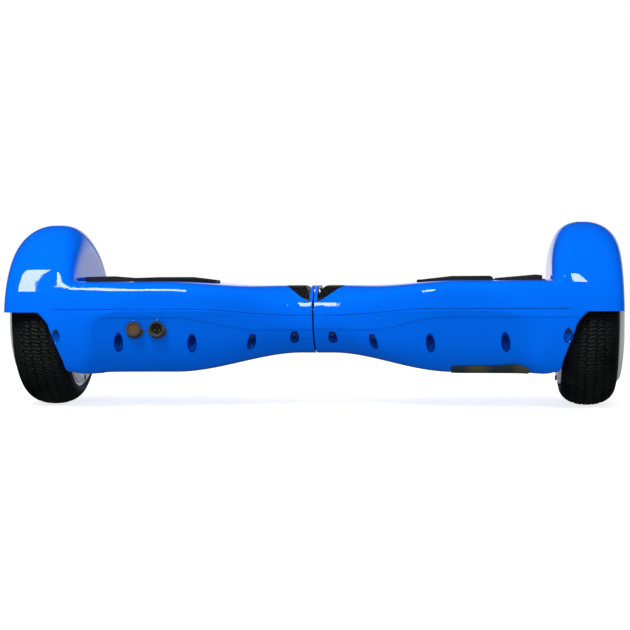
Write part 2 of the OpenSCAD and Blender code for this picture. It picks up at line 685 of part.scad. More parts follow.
module port_holes() {
    port_barrel(socket_x, port_y - 10, port_y + 5.9, 7.4);
    port_barrel(button_x, port_y - 10, port_y + 5.9, 7.1);
    port_barrel(socket_x, port_y + 5.8, port_y + 20, 9.8);
    port_barrel(button_x, port_y + 5.8, port_y + 20, 9.8);
}

// ---------------------------------------------------------------- nodes
module left_lower_shell() {
    difference() {
        half(-1) lower_shell();
        port_holes();
    }
}

blue = [0.0, 0.42, 0.97];
black = [0.06, 0.06, 0.07];
steel = [0.6, 0.6, 0.62];
alloy = [0.75, 0.76, 0.78];
board_green = [0.05, 0.3, 0.12];

color(blue) half(-1) upper_shell();  // left_upper_shell
color(blue) upper_shell();  // right_upper_shell
color(blue) left_lower_shell();
color(blue) lower_shell();  // right_lower_shell
color(black) half(-1) foot_pad();  // left_foot_pad
color(black) foot_pad();  // right_foot_pad
color(black) half(-1) sensor_plungers();  // left_sensor_plungers
color(black) sensor_plungers();  // right_sensor_plungers
color(alloy) half(-1) frame(tube_r + run_fit, false);  // left_frame
color(alloy) frame(bush_r + run_fit, true);  // right_frame
color(steel) half(-1) axle();  // left_axle
color(steel) axle();  // right_axle
color(steel) half(-1) stator_core();  // left_stator_core
color(steel) stator_core();  // right_stator_core
color("chocolate") half(-1) stator_windings();  // left_stator_windings
color("chocolate") stator_windings();  // right_stator_windings
color(alloy) half(-1) wheel_rim();  // left_wheel_rim
color(alloy) wheel_rim();  // right_wheel_rim
color(steel) half(-1) rotor_magnets();  // left_rotor_magnets
color(steel) rotor_magnets();  // right_rotor_magnets
color(black) half(-1) tyre();  // left_tyre
color(black) tyre();  // right_tyre
color(alloy) half(-1) motor_cover();  // left_motor_cover
color(alloy) motor_cover();  // right_motor_cover
color(steel) half(-1) motor_cover_screws();  // left_motor_cover_screws
color(steel) motor_cover_screws();  // right_motor_cover_screws
color("gainsboro") half(-1) hub_cap();  // left_hub_cap
color("gainsboro") hub_cap();  // right_hub_cap
color(steel) half(-1) wheel_bearings();  // left_wheel_bearings
color(steel) wheel_bearings();  // right_wheel_bearings
color(alloy) half(-1) axle_clamp();  // left_axle_clamp
color(alloy) axle_clamp();  // right_axle_clamp
color(steel) half(-1) axle_clamp_bolts();  // left_axle_clamp_bolts
color(steel) axle_clamp_bolts();  // right_axle_clamp_bolts
color(board_green) half(-1) gyro_board();  // left_gyro_board
color(board_green) gyro_board();  // right_gyro_board
color("white") half(-1) headlight_lens();  // left_headlight_lens
color("white") headlight_lens();  // right_headlight_lens
color(board_green) half(-1) headlight_board();  // left_headlight_board
color(board_green) headlight_board();  // right_headlight_board
color(black) half(-1) indicator_window();  // left_indicator_window
color(black) indicator_window();  // right_indicator_window
color(steel) half(-1) shell_screws();  // left_shell_screws
color(steel) shell_screws();  // right_shell_screws
color(steel) pivot_tube();
color("goldenrod") pivot_bushes();
color(steel) pivot_circlip();
color(steel) pivot_stop_pin();
color("navy") battery_pack();
color(steel) battery_bracket();
color("crimson") battery_lead();
color(board_green) main_board();
color(steel) charging_socket();
color("goldenrod") charging_pins();
color("peru") power_button();
color(steel) power_button_housing();
color(black) centre_harness();
color(black) left_motor_cable();
color(black) right_motor_cable();
color("darkkhaki") blank_rating_plate();
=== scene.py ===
"""Looks of a self balancing two-wheeled board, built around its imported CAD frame.

Lengths in the casing functions are millimetres, as in the part's own source.
mesh_from() turns them into metres.
"""
import json
import math

import bmesh
import bpy
import numpy as np
from mathutils import Euler, Matrix, Vector


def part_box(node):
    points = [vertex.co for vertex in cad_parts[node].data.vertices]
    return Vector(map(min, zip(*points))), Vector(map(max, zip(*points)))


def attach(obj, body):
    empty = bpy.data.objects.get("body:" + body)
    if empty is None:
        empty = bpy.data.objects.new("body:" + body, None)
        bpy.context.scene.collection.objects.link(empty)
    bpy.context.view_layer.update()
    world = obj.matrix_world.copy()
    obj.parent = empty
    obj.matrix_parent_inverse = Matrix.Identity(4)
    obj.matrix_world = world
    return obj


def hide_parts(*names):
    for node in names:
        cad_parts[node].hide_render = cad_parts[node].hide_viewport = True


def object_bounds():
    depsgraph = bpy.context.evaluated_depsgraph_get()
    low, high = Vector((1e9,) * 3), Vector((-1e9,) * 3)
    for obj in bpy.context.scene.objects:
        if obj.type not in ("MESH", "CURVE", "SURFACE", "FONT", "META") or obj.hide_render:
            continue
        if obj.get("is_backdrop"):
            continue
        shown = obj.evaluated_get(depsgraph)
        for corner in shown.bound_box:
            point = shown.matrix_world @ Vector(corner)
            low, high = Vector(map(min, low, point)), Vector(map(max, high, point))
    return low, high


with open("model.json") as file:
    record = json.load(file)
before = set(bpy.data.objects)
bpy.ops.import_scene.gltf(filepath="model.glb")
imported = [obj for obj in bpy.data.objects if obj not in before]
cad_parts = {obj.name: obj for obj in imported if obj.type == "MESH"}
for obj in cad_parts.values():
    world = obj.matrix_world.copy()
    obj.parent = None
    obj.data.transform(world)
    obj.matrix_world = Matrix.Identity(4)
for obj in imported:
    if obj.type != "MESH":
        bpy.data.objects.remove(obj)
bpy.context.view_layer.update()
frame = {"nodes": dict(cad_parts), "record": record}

MM = 0.001
SIDES = {"left": -1, "right": 1}
AXLE_Z = 85.0
GAP_X = 0.75
WALL = 3.0
WALL_X = 226.0
WELL_X0 = WALL_X + WALL
FENDER_X = 292.0
FENDER_R = 93.0
WELL_R = 89.5
LIP_R = 66.0
WHEEL_X = 262.3
DECK_Z = 122.5
SCREW_X = (18.5, 58.5, 113.0, 183.0, 240.0)
SCREW_SEAT = (71.4, 69.3, 76.6, 79.0, 77.0)
POCKET_R = 3.6


# ---------------------------------------------------------------- casing surface
def smooth(a, b, x):
    t = np.clip((np.asarray(x, float) - a) / (b - a), 0, 1)
    return t * t * (3 - 2 * t)


def mix(a, b, t):
    return a + (b - a) * t


def soft_min(a, b, k):
    h = np.maximum(0, k - np.abs(a - b))
    return np.minimum(a, b) - h * h / (4 * k)


def soft_max(a, b, k):
    return -soft_min(-a, -b, k)


def half_w(x):
    return mix(48, 87, smooth(12, 120, x)) + 9 * smooth(150, 228, x)


def top_z(x):
    return mix(117.5, DECK_Z, smooth(55, 140, x))


def belly(x):
    return mix(50, 32.5, smooth(15, 135, x)) + 2 * np.maximum(0, (x - 212) / 16) ** 3


def wide_z(x):
    return mix(88, 94, smooth(20, 115, x)) - 6 * smooth(170, 228, x)


def seam_z(x):
    return mix(89, 96, smooth(20, 115, x)) - 2.8 * smooth(236, 262, x)


def section(x, inset):
    """The casing's cross section at x: a function of (y, z) that is 1 on the surface and more outside it."""
    zc = wide_z(x)
    rise, fall = top_z(x) - inset - zc, zc - belly(x) - inset
    n_up = mix(2.4, 7, smooth(25, 130, x))
    n_down = mix(2.3, 5, smooth(20, 112, x)) + 2.5 * smooth(195, 228, x)
    taper = mix(0.05, 0.27, smooth(20, 112, x)) * (1 - 0.8 * smooth(190, 228, x))
    width = half_w(x) - inset

    def level(y, z):
        up = z > zc
        u = np.abs(z - zc) / np.where(up, rise, fall)
        a = width * np.where(up, 1, 1 - taper * np.minimum(u, 1))
        n = np.where(up, n_up, n_down)
        return np.abs(y / a) ** n + u ** n
    return level


def body_r(x, t, inset=0.0):
    """Distance of the casing's surface from the axle line at x and angle t, in radians."""
    x, t = np.broadcast_arrays(np.minimum(np.asarray(x, float), 228), np.asarray(t, float))
    lo, hi = np.full(x.shape, 5.0), np.full(x.shape, 140.0)
    c, s = np.cos(t), np.sin(t)
    level = section(x, inset)
    for _ in range(26):
        m = (lo + hi) / 2
        out = level(m * c, AXLE_Z + m * s) > 1
        hi, lo = np.where(out, m, hi), np.where(out, lo, m)
    return soft_min((lo + hi) / 2, FENDER_R - inset, 3)


# Width, height and squareness of the fender's shoulders, at the crown and at the seam
INNER_TOP, INNER_SIDE = (31, 43, 2.45), (10, 12, 2.3)
OUTER_TOP, OUTER_SIDE = (31, 25.5, 2), (12, 10, 2.3)


def round_off(distance, width, height, power):
    u = np.maximum(0, 1 - np.asarray(distance, float) / width)
    return height * (1 - np.maximum(0, 1 - u ** power) ** (1 / power))


def arch_r(x, t):
    """Radius of the fender's rounded arch."""
    crown = np.sin(t) ** 2
    if x < WHEEL_X - 4:
        return FENDER_R - round_off(x - WALL_X, *(mix(a, b, crown) for a, b in zip(INNER_SIDE, INNER_TOP)))
    return FENDER_R - round_off(FENDER_X - x, *(mix(a, b, crown) for a, b in zip(OUTER_SIDE, OUTER_TOP)))


def upper_r(x, t):
    if x < WALL_X:
        return body_r(x, t)
    if x > WHEEL_X - 4:
        return arch_r(x, t)
    return np.minimum(FENDER_R, soft_max(body_r(x, t), arch_r(x, t), 8.0))


def angle_at(x, z, inset=0.0, radius=None):
    """Angle at which the casing's section at x passes through height z on the +Y side."""
    h = np.asarray(z, float) - AXLE_Z
    t = np.zeros(np.broadcast(x, h).shape) + 0.05
    for _ in range(8):
        r = body_r(x, t, inset) if radius is None else radius(x, t)
        t = np.arctan2(h, r * np.cos(t))
    return t


# ---------------------------------------------------------------- mesh helpers
def mesh_from(name, verts, faces, scale=MM):
    """A smooth-shaded mesh object from points in millimetres."""
    me = bpy.data.meshes.new(name)
    me.from_pydata([tuple(c * scale for c in v) for v in verts], [], faces)
    ob = bpy.data.objects.new(name, me)
    bpy.context.scene.collection.objects.link(ob)
    tidy(ob)
    return ob


def tidy(ob, merge=1e-6):
    bm = bmesh.new()
    bm.from_mesh(ob.data)
    bmesh.ops.remove_doubles(bm, verts=bm.verts, dist=merge)
    bmesh.ops.dissolve_degenerate(bm, edges=bm.edges, dist=merge)
    bmesh.ops.recalc_face_normals(bm, faces=bm.faces)
    if bm.calc_volume(signed=True) < 0:
        bmesh.ops.reverse_faces(bm, faces=bm.faces)
    bm.to_mesh(ob.data)
    bm.free()
    shade(ob)


def shade(ob, degrees=32):
    me = ob.data
    me.polygons.foreach_set("use_smooth", [True] * len(me.polygons))
    me.set_sharp_from_angle(angle=math.radians(degrees))


def grid_faces(rows, cols, wrap_rows=False, wrap_cols=False, base=0):
    out = []
    for j in range(rows if wrap_rows else rows - 1):
        for i in range(cols if wrap_cols else cols - 1):
            a, b = base + j * cols + i, base + j * cols + (i + 1) % cols
            k = (j + 1) % rows
            out.append((a, b, base + k * cols + (i + 1) % cols, base + k * cols + i))
    return out


def shell_mesh(name, outer, inner):
    """A closed thin shell from two grids of points with the same rows and columns."""
    rows, cols = outer.shape[:2]
    verts = np.concatenate([outer.reshape(-1, 3), inner.reshape(-1, 3)])
    n = rows * cols
    faces = grid_faces(rows, cols) + [tuple(v + n for v in f[::-1]) for f in grid_faces(rows, cols)]
    rim = list(range(cols)) + [j * cols + cols - 1 for j in range(1, rows)]
    rim += [(rows - 1) * cols + i for i in range(cols - 2, -1, -1)]
    rim += [j * cols for j in range(rows - 2, 0, -1)]
    for a, b in zip(rim, rim[1:] + rim[:1]):
        faces.append((b, a, a + n, b + n))
    return mesh_from(name, verts, faces)


def turned(name, profile, steps=160, x0=0.0, closed=True, angle=None):
    """A ring turned about the axle line from (x, r) points in millimetres."""
    t = np.linspace(0, 2 * math.pi, steps, endpoint=False)
    p = np.array(profile, float)
    verts = np.stack([
        np.repeat(p[:, 0:1] + x0, steps, 1),
        p[:, 1:2] * np.cos(t)[None],
        AXLE_Z + p[:, 1:2] * np.sin(t)[None]], -1)
    return mesh_from(name, verts.reshape(-1, 3), grid_faces(len(p), steps, wrap_rows=closed, wrap_cols=True))


def rounded(profile, radius, steps=4):
    """An (x, r) outline with each corner replaced by a short curve."""
    p = [Vector(q) for q in profile]
    out = []
    for i, c in enumerate(p):
        a, b = p[i - 1], p[(i + 1) % len(p)]
        da, db = a - c, b - c
        k = min(radius, da.length * 0.45, db.length * 0.45)
        s, e = c + da.normalized() * k, c + db.normalized() * k
        for j in range(steps + 1):
            f = j / steps
            out.append(tuple((1 - f) ** 2 * s + 2 * f * (1 - f) * c + f * f * e))
    return out


def prism(name, outline, low, high, axis="z"):
    """A closed prism over an outline, between two levels, in millimetres."""
    n = len(outline)
    def at(p, h):
        return {"z": (p[0], p[1], h), "x": (h, p[0], p[1]), "y": (p[0], h, p[1])}[axis]
    verts = [at(p, low) for p in outline] + [at(p, high) for p in outline]
    faces = [tuple(range(n)), tuple(range(2 * n - 1, n - 1, -1))]
    faces += [(i, (i + 1) % n, n + (i + 1) % n, n + i) for i in range(n)]
    return mesh_from(name, verts, faces)


def tube(name, centre, radius, low, high, axis="z", steps=40):
    t = np.linspace(0, 2 * math.pi, steps, endpoint=False)
    outline = [(centre[0] + radius * math.cos(a), centre[1] + radius * math.sin(a)) for a in t]
    return prism(name, outline, low, high, axis)


def join(name, obs):
    """One object from the meshes of several."""
    bm = bmesh.new()
    for o in obs:
        bm.from_mesh(o.data)
        bpy.data.objects.remove(o)
    me = bpy.data.meshes.new(name)
    bm.to_mesh(me)
    bm.free()
    ob = bpy.data.objects.new(name, me)
    bpy.context.scene.collection.objects.link(ob)
    return ob


def cut(ob, tool, operation="DIFFERENCE"):
    """Applies a boolean of tool on ob, and removes the tool; both are closed meshes."""
    mod = ob.modifiers.new("cut", "BOOLEAN")
    mod.operation, mod.object, mod.solver = operation, tool, "MANIFOLD"
    apply_modifiers(ob)
    bpy.data.objects.remove(tool)


def apply_modifiers(ob):
    deps = bpy.context.evaluated_depsgraph_get()
    me = bpy.data.meshes.new_from_object(ob.evaluated_get(deps))
    ob.modifiers.clear()
    ob.data = me


def flip_x(name, ob):
    """A mirrored copy of ob on the other side of the board's middle."""
    me = ob.data.copy()
    me.transform(Matrix.Scale(-1, 4, (1, 0, 0)))
    me.flip_normals()
    new = bpy.data.objects.new(name, me)
    bpy.context.scene.collection.objects.link(new)
    return new


# ---------------------------------------------------------------- materials
class Nodes:
    """A short way of writing a material's node tree."""

    def __init__(self, name):
        self.material = bpy.data.materials.new(name)
        self.material.use_nodes = True
        self.tree = self.material.node_tree
        self.shader = self.tree.nodes["Principled BSDF"]

    def add(self, kind, **inputs):
        node = self.tree.nodes.new(kind)
        for key, value in inputs.items():
            if key in node.bl_rna.properties:
                setattr(node, key, value)
            else:
                self.put(node, key.replace("_", " "), value)
        return node

    def put(self, node, key, value):
        socket = node.inputs[key]
        if isinstance(value, bpy.types.NodeSocket):
            self.tree.links.new(value, socket)
        else:
            socket.default_value = value

    def set(self, **inputs):
        for key, value in inputs.items():
            self.put(self.shader, key.replace("_", " "), value)

    def coords(self, scale=(1, 1, 1)):
        source = self.add("ShaderNodeTexCoord").outputs["Object"]
        return self.add("ShaderNodeMapping", Vector=source, Scale=scale).outputs["Vector"]

    def noise(self, scale, detail=3, vector=None, stretch=(1, 1, 1)):
        vector = self.coords(stretch) if vector is None else vector
        return self.add("ShaderNodeTexNoise", Vector=vector, Scale=scale, Detail=detail).outputs["Fac"]

    def ramp(self, fac, stops):
        node = self.add("ShaderNodeValToRGB", Fac=fac)
        while len(node.color_ramp.elements) < len(stops):
            node.color_ramp.elements.new(0.5)
        for e, (pos, colour) in zip(node.color_ramp.elements, stops):
            e.position = pos
            e.color = (*colour, 1) if len(colour) == 3 else colour
        return node.outputs["Color"]

    def levels(self, fac, low, high, from_low=0.0, from_high=1.0):
        node = self.add("ShaderNodeMapRange", Value=fac)
        limits = {"From Min": from_low, "From Max": from_high, "To Min": low, "To Max": high}
        for key, value in limits.items():
            self.put(node, key, value)
        return node.outputs["Result"]

    def bump(self, height, strength, distance, below=None):
        node = self.add("ShaderNodeBump", Height=height, Strength=strength, Distance=distance)
        if below is not None:
            self.put(node, "Normal", below)
        return node.outputs["Normal"]


def gloss_blue(name, colour, dark):
    """Moulded, painted and polished casing: a clear coat over a deep blue, a faint ripple, hairline wear."""
    m = Nodes(name)
    broad = m.noise(9.0, 2)
    fine = m.noise(900.0, 2)
    scratch = m.noise(60.0, 4, stretch=(1.0, 14.0, 14.0))
    base = m.ramp(broad, [(0.3, dark), (0.7, colour)])
    m.set(Base_Color=base, Roughness=m.levels(scratch, 0.3, 0.42, 0.4, 0.75),
          Coat_Weight=0.9, Coat_Roughness=0.02, Coat_IOR=1.5, IOR=1.46, Specular_IOR_Level=0.0,
          Normal=m.bump(fine, 0.03, 0.0002),
          Coat_Normal=m.bump(m.noise(120.0, 2), 0.012, 0.0006))
    return m.material


def rubber(name, colour, grain, rough=0.7):
    m = Nodes(name)
    dust = m.noise(26.0, 5)
    base = m.ramp(dust, [(0.35, colour), (0.75, tuple(c * 1.7 + 0.006 for c in colour))])
    cells = m.add("ShaderNodeTexVoronoi", Vector=m.coords(), Scale=grain).outputs["Distance"]
    m.set(Base_Color=base, Roughness=m.levels(dust, rough - 0.12, rough + 0.12, 0.3, 0.7),
          Specular_IOR_Level=0.35, Normal=m.bump(cells, 0.35, 0.0003))
    return m.material


def metal(name, colour, rough, stretch=(1, 1, 1), scale=220.0, cast=False, metallic=0.9):
    m = Nodes(name)
    lines = m.noise(scale, 3, stretch=stretch)
    patch = m.noise(30.0, 4)
    tint = m.ramp(patch, [(0.3, tuple(c * 0.86 for c in colour)), (0.7, colour)])
    m.set(Base_Color=tint, Metallic=metallic, Roughness=m.levels(lines, rough * 0.75, rough * 1.3, 0.3, 0.7),
          Normal=m.bump(lines, 0.3 if cast else 0.08, 0.0006 if cast else 0.0001))
    return m.material


def plastic(name, colour, rough, grain=500.0, strength=0.12):
    m = Nodes(name)
    patch = m.noise(20.0, 4)
    tint = m.ramp(patch, [(0.3, tuple(c * 0.9 for c in colour)), (0.7, colour)])
    m.set(Base_Color=tint, Roughness=m.levels(patch, rough * 0.8, rough * 1.2, 0.3, 0.7),
          Normal=m.bump(m.noise(grain, 3), strength, 0.0003))
    return m.material


def board(name):
    """Solder mask with traces and bare pads."""
    m = Nodes(name)
    vector = m.coords((1, 1, 1))
    bricks = m.add("ShaderNodeTexBrick", Vector=vector, Scale=90.0)
    bricks.inputs["Color1"].default_value = (0.01, 0.12, 0.04, 1)
    bricks.inputs["Color2"].default_value = (0.015, 0.17, 0.06, 1)
    bricks.inputs["Mortar"].default_value = (0.03, 0.26, 0.1, 1)
    m.set(Base_Color=bricks.outputs["Color"], Roughness=m.levels(m.noise(80.0), 0.25, 0.45),
          Normal=m.bump(bricks.outputs["Fac"], 0.2, 0.0002))
    return m.material


def window_black(name):
    m = Nodes(name)
    dots = m.add("ShaderNodeTexVoronoi", Vector=m.coords(), Scale=420.0).outputs["Distance"]
    base = m.ramp(dots, [(0.2, (0.02, 0.018, 0.018)), (0.55, (0.006, 0.006, 0.007))])
    m.set(Base_Color=base, Roughness=m.levels(m.noise(40.0), 0.3, 0.4), Specular_IOR_Level=0.2,
          Normal=m.bump(m.noise(300.0), 0.02, 0.0002))
    return m.material


def lens(name):
    """Frosted headlight lens with fine flutes."""
    m = Nodes(name)
    flutes = m.add("ShaderNodeTexWave", Vector=m.coords(), Scale=60.0, wave_type="BANDS", bands_direction="X")
    m.set(Base_Color=m.ramp(m.noise(30.0), [(0.3, (0.78, 0.82, 0.86)), (0.7, (0.9, 0.92, 0.95))]),
          Roughness=m.levels(m.noise(200.0), 0.12, 0.22), Transmission_Weight=0.35, IOR=1.45,
          Normal=m.bump(flutes.outputs["Fac"], 0.35, 0.0006))
    return m.material


def foil(name):
    """Blank rating foil: a brushed sheet with a darker printed field and no lettering."""
    m = Nodes(name)
    lines = m.noise(500.0, 3, stretch=(0.2, 6, 6))
    bands = m.add("ShaderNodeTexWave", Vector=m.coords(), Scale=7.0, wave_type="BANDS", bands_direction="X")
    low = m.ramp(bands.outputs["Fac"], [(0.3, (0.04, 0.07, 0.08)), (0.9, (0.12, 0.13, 0.07))])
    m.set(Base_Color=low, Metallic=0.2, Roughness=m.levels(lines, 0.3, 0.5),
          Normal=m.bump(lines, 0.1, 0.0001))
    return m.material


BLUE = (0.0003, 0.158, 0.96)
MATERIALS = {
    "blue_gloss": gloss_blue("blue_gloss", BLUE, (0.0003, 0.148, 0.92)),
    "black_rubber": rubber("black_rubber", (0.0045, 0.0045, 0.005), 900.0),
    "tyre": rubber("tyre", (0.0035, 0.0048, 0.0044), 1400.0, 0.6),
    "cast_alloy": metal("cast_alloy", (0.7, 0.74, 0.8), 0.36, cast=True, metallic=0.15),
    "steel": metal("steel", (0.2, 0.2, 0.21), 0.3, (1, 12, 12)),
    "bright_steel": metal("bright_steel", (0.24, 0.24, 0.24), 0.16, metallic=0.7),
    "copper": metal("copper", (0.72, 0.33, 0.16), 0.3, (12, 1, 1), 400.0),
    "magnet": metal("magnet", (0.42, 0.42, 0.44), 0.24),
    "grey_plastic": plastic("grey_plastic", (0.68, 0.685, 0.69), 0.34, 700.0, 0.06),
    "circuit_board": board("circuit_board"),
    "clear_lens": lens("clear_lens"),
    "black_gloss": window_black("black_gloss"),
    "bronze": metal("bronze", (0.72, 0.5, 0.22), 0.24),
    "battery_sleeve": plastic("battery_sleeve", (0.02, 0.05, 0.3), 0.25, 150.0, 0.25),
    "button_metal": metal("button_metal", (0.2, 0.11, 0.04), 0.26, (1, 1, 1), 600.0, metallic=0.3),
    "rating_foil": foil("rating_foil"),
}
# Painted shade: the screw pockets' cups get a darker blue than the casing, standing in for the shade inside
# the pockets
POCKET_PAINTED_SHADE = gloss_blue("pocket_painted_shade", (0.0, 0.03, 0.3), (0.0, 0.02, 0.22))


def dress(ob, slot):
    ob.data.materials.clear()
    ob.data.materials.append(MATERIALS[slot])
    return ob


for part in frame["record"]["subparts"]:
    node_ob = frame["nodes"][part["node"]]
    node_ob.data.materials.clear()
    node_ob.data.materials.append(MATERIALS[part["material_slot"]])


# ---------------------------------------------------------------- upper casing
def edge_rows(count, fine=(0, 0.15, 0.35, 0.6, 0.9, 1.4, 2.2, 3.2), span=220.0):
    """Fractions of a casing arc, close together at both of its edges."""
    start = np.array(fine) / span
    middle = np.linspace(start[-1], 1 - start[-1], count)[1:-1]
    return np.concatenate([start, middle, 1 - start[::-1]])


def round_edge(distance, radius):
    """How far a surface drops away at a rounded edge, at a distance along it."""
    u = np.clip(1 - np.asarray(distance, float) / radius, 0, 1)
    return radius * (1 - np.sqrt(1 - u * u))


EDGE = 0.5
SEAM_EDGE = 0.25
SEAM_GAP = 0.2
WINDOW_Y = 44.6
# Sections close to the middle gap, for its rounded edge
GAP_STEPS = (0, 0.1, 0.25, 0.5, 0.85, 1.4)
# Radius of the wheel well along the board, under the fender's crown
WELL = ((229, 66), (231.5, 74), (235, 80.5), (240, 85), (247, 88.5), (254, 89.5), (262, 89.5), (272, 88.1),
        (276.5, 86.5), (280.5, 84.3), (284, 81), (286.8, 77.5), (289, 72.5), (290, 69))


def upper_casing(name):
    xs = np.concatenate([GAP_X + np.array(GAP_STEPS), np.arange(4.0, 225.0, 2.0), [225.6]])
    deck_side = WALL_X + np.array([0, 0.1, 0.3, 0.7, 1.2, 2, 3, 4.4, 6, 8, 10, 12.5, 15, 18, 22, 27])
    outer_side = FENDER_X - np.array([33.5, 31, 28, 25, 22.5, 20, 17.5, 15.5, 13.5, 11.5, 9.7, 8, 6.5, 5.2, 4,
                                      3, 2.2, 1.4, 0.8, 0.4, 0.15, 0])
    stations = [(x, None) for x in np.concatenate([xs, deck_side, outer_side])]
    # The flat rim turns inwards around the opening of the wheel
    stations += [(FENDER_X, f) for f in (0.3, 0.7, 1.0)]
    stations += [(FENDER_X - back, f) for back, f in ((0.15, 1.4), (0.5, 1.75), (1.0, 1.95), (1.8, 2.0))]
    s = edge_rows(96)
    outer, inner = [], []
    for x, lip in stations:
        z0 = float(seam_z(x)) + SEAM_GAP

        def radius(x, t):
            edge = upper_r(x, t)
            if lip is None:
                return edge
            edge = arch_r(FENDER_X, t)
            return mix(edge, LIP_R + 1, lip) if lip <= 1 else LIP_R + 2 - lip + 0 * t
        t0 = float(angle_at(x, z0, 0.0, radius))
        t = t0 + (math.pi - 2 * t0) * s
        r = radius(x, t)
        along = np.minimum(s, 1 - s) * r * (math.pi - 2 * t0)
        drop = round_edge(along, SEAM_EDGE)
        if x < WALL_X:
            drop = np.maximum(drop, round_edge(x - GAP_X, EDGE))
        ro = r - drop
        outer.append(np.stack([np.full(t.shape, x), ro * np.cos(t), AXLE_Z + ro * np.sin(t)], -1))
        # Inner face: cavity under the deck, wheel well under the fender
        if x < WALL_X:
            xi, ri = x, np.minimum(body_r(min(x, 224.0), t, WALL), ro - 0.4)
        else:
            xi = float(np.clip(x, WELL_X0 + 0.3, FENDER_X - 2 + 0.2 * ((lip or 0) >= 1)))
            well = np.interp(x, [WALL_X, WELL_X0], [30, 66]) if x < WELL_X0 else np.interp(x, *zip(*WELL))
            if lip is not None:
                well = mix(69, LIP_R + 0.05, min(1, lip))
            ri = np.minimum(well, ro - 1.2 * (lip is None)) + 0 * t
        shallow = math.asin(min(1, (z0 - AXLE_Z) / float(np.max(ri))))
        ti = np.clip(t, shallow, math.pi - shallow)
        inner.append(np.stack([np.full(t.shape, xi), ri * np.cos(ti), AXLE_Z + ri * np.sin(ti)], -1))
    return shell_mesh(name, np.array(outer), np.array(inner))


def end_wall(name, low, high):
    """The wall between the cavity and the wheel, as a flat plate under the casing's skin."""
    if high is None:
        t0 = float(angle_at(226.0, low, 1.0))
        t = np.linspace(t0, math.pi - t0, 60)
    else:
        t0 = float(angle_at(226.0, high, 1.0))
        t = np.linspace(t0, -math.pi - t0, 90)
    r = body_r(226.0, t, 1.0)
    outline = [(float(a * math.cos(b)), float(AXLE_Z + a * math.sin(b))) for a, b in zip(r, t)]
    if high is not None:
        # The axle drops into a slot that is open at the top
        slot = 10.0
        curve = np.linspace(math.pi, 2 * math.pi, 24)
        outline.append((-slot, high))
        outline += [(slot * math.cos(a), AXLE_Z + slot * math.sin(a)) for a in curve]
        outline.append((slot, high))
    return prism(name, outline, WALL_X, WELL_X0, "x")


# The foot pad: a squarish half oval between two places along the board
PAD_X0, PAD_X1, PAD_HALF, PAD_POWER = 98.0, 217.5, 63.0, 2.8


def pad_outline(grow):
    length, w = PAD_X1 - PAD_X0 + 2 * grow, PAD_HALF + grow
    f = np.radians(np.linspace(-90, 90, 61))
    c, s = np.cos(f), np.sin(f)
    return list(zip(PAD_X1 + grow - length * np.maximum(c, 0) ** (2 / PAD_POWER),
                    w * np.sign(s) * np.abs(s) ** (2 / PAD_POWER)))


def window_outline(grow):
    f = np.linspace(0, 2 * math.pi, 144, endpoint=False)
    pts = [((29 + grow) * math.cos(a), (WINDOW_Y + grow) * math.sin(a)) for a in f]
    edge = 3.8 - grow
    kept = [p for p in pts if p[0] > edge]
    reach = (WINDOW_Y + grow) * math.sqrt(1 - (edge / (29 + grow)) ** 2)
    order = sorted(kept, key=lambda p: math.atan2(p[1], p[0]))
    return [(edge, -reach)] + order + [(edge, reach)]


def upper_parts():
    base = upper_casing("right_upper_casing")
    recess = prism("recess", pad_outline(0.6), 117.6, 140)
    opening = prism("opening", window_outline(0.3), 95, 140)
    cut(base, join("tools", [recess, opening]))
    # Floor of the recess under the foot pad
    tray = prism("tray", pad_outline(2.2), 114.8, 117.5)
    base = join(base.name, [base, tray])
    shade(base)
    wall = end_wall("right_upper_wall", float(seam_z(226)) + SEAM_GAP, None)
    return base, wall


# ---------------------------------------------------------------- lower casing
def cheek_x(z):
    z = np.asarray(z, float)
    side = 235.5 + 0.36 * (np.clip(z, 46, 78) - 46)
    return side + 11 * (np.maximum(0, z - 78) / 15) ** 1.6 - 5 * (np.maximum(0, 46 - z) / 13) ** 2


def panel_step(x, z, side):
    """Depth of the shallow step around the lower casing's moulded panel."""
    line = mix(75, 88, smooth(50, 130, x))
    corner, radius, depth = 205.0, 12.0, 0.7
    inside = line - z
    if side < 0:
        inside_x, inside_z = corner - x, line - z
        inside = np.minimum(inside_x, inside_z)
        bend = radius - np.hypot(np.maximum(0, radius - inside_x), np.maximum(0, radius - inside_z))
        straight = (inside_x > radius) | (inside_z > radius)
        inside = np.where(straight, inside, np.minimum(inside, bend))
    return depth * smooth(-0.6, 0.6, inside)


